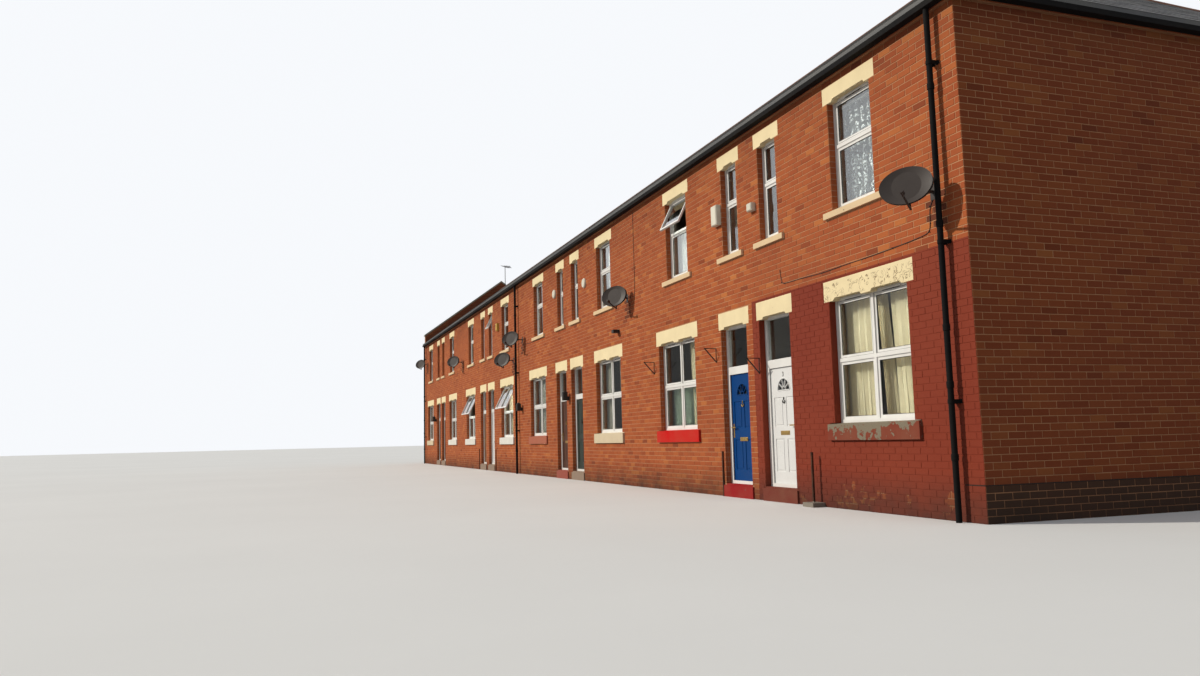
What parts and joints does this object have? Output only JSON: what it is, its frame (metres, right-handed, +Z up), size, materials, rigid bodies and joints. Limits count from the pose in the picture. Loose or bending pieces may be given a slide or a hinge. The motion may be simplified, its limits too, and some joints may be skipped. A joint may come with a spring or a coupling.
{
  "type": "terraced house row",
  "caption": "Row of mirrored two-storey brick terraced houses with paired front doors, shouldered stone lintels and a hipped slate roof; each front door swings in.",
  "frame": {"origin": "on the ground, in the middle of the row's plan, under the party wall of the two middle houses", "axes": "+X along the row towards the gable end under the roof's hip, +Y from the street front to the back, +Z up"},
  "size_m": [39.387, 8.8569, 10.2746],
  "materials": {
    "brick": "matte fired clay brick with mortar joints",
    "painted_stone": "masonry paint, weathered",
    "stone": "weathered",
    "white_upvc": "satin",
    "window_glass": "clear",
    "slate": "riven slate",
    "ridge_clay": "matte",
    "black_plastic": "satin",
    "concrete": "trowelled",
    "boards": "planed",
    "plaster": "painted",
    "painted_wood": "gloss paint",
    "door_white": "satin",
    "door_blue": "satin",
    "dish_metal": "satin paint",
    "white_plastic": "satin",
    "black_iron": "painted, rusting"
  },
  "bodies": {
    "row_body": {"alarm_boxes": "white_plastic", "back_doors": "painted_wood", "back_eaves_course": "brick", "back_gutter": "black_plastic", "back_lintels": "stone", "back_roof_slope": "slate", "back_sills": "stone", "back_walls": "brick", "back_window_frames": "white_upvc", "back_window_glass": "window_glass", "basket_brackets": "black_iron", "bedroom_ceilings": "plaster", "dish_brackets": "dish_metal", "door_frames": "white_upvc", "door_lintels": "painted_stone", "door_steps": "painted_stone", "downpipes": "black_plastic", "fanlight_glass": "window_glass", "far_gable_wall": "brick", "front_door_piers": "brick", "front_eaves_course": "brick", "front_gutter": "black_plastic", "front_roof_slope": "slate", "front_wall_over_doors": "brick", "front_wall_panels": "brick", "ground_floors": "concrete", "ground_window_frames": "white_upvc", "ground_window_lintels": "painted_stone", "ground_window_sills": "painted_stone", "hip_roof_slope": "slate", "hip_tiles": "ridge_clay", "iron_posts": "black_iron", "near_gable_wall": "brick", "open_sash_glass": "window_glass", "open_sashes": "white_upvc", "parapet_coping": "stone", "party_walls": "brick", "pipe_clips": "black_plastic", "ridge_tiles": "ridge_clay", "roof_aerial": "dish_metal", "satellite_dishes": "dish_metal", "side_eaves_course": "brick", "side_gutter": "black_plastic", "upper_floors": "boards", "upper_window_frames": "white_upvc", "upper_window_lintels": "painted_stone", "upper_window_sills": "painted_stone", "wall_lamps": "black_iron", "window_glass": "window_glass"},
    "door_leaf_1": {"front_door_1": "door_white", "door_1_fan_glass": "window_glass"},
    "door_leaf_2": {"front_door_2": "door_blue", "door_2_fan_glass": "window_glass"},
    "door_leaf_3": {"front_door_3": "painted_wood"},
    "door_leaf_4": {"front_door_4": "painted_wood"},
    "door_leaf_5": {"front_door_5": "painted_wood"},
    "door_leaf_6": {"front_door_6": "painted_wood"},
    "door_leaf_7": {"front_door_7": "painted_wood"},
    "door_leaf_8": {"front_door_8": "painted_wood"}
  },
  "joints": [
    {"name": "door_hinge_1", "type": "hinge", "parent": "row_body", "child": "door_leaf_1", "pos_m": [14.974, -3.823, 0.5], "axis": [0, 0, 1], "range_deg": [0, 90]},
    {"name": "door_hinge_2", "type": "hinge", "parent": "row_body", "child": "door_leaf_2", "pos_m": [14.426, -3.823, 0.5], "axis": [0, 0, -1], "range_deg": [0, 90]},
    {"name": "door_hinge_3", "type": "hinge", "parent": "row_body", "child": "door_leaf_3", "pos_m": [5.174, -3.823, 0.5], "axis": [0, 0, 1], "range_deg": [0, 90]},
    {"name": "door_hinge_4", "type": "hinge", "parent": "row_body", "child": "door_leaf_4", "pos_m": [4.626, -3.823, 0.5], "axis": [0, 0, -1], "range_deg": [0, 90]},
    {"name": "door_hinge_5", "type": "hinge", "parent": "row_body", "child": "door_leaf_5", "pos_m": [-4.626, -3.823, 0.5], "axis": [0, 0, 1], "range_deg": [0, 90]},
    {"name": "door_hinge_6", "type": "hinge", "parent": "row_body", "child": "door_leaf_6", "pos_m": [-5.174, -3.823, 0.5], "axis": [0, 0, -1], "range_deg": [0, 90]},
    {"name": "door_hinge_7", "type": "hinge", "parent": "row_body", "child": "door_leaf_7", "pos_m": [-14.426, -3.823, 0.5], "axis": [0, 0, 1], "range_deg": [0, 90]},
    {"name": "door_hinge_8", "type": "hinge", "parent": "row_body", "child": "door_leaf_8", "pos_m": [-14.974, -3.823, 0.5], "axis": [0, 0, -1], "range_deg": [0, 90]}
  ]
}
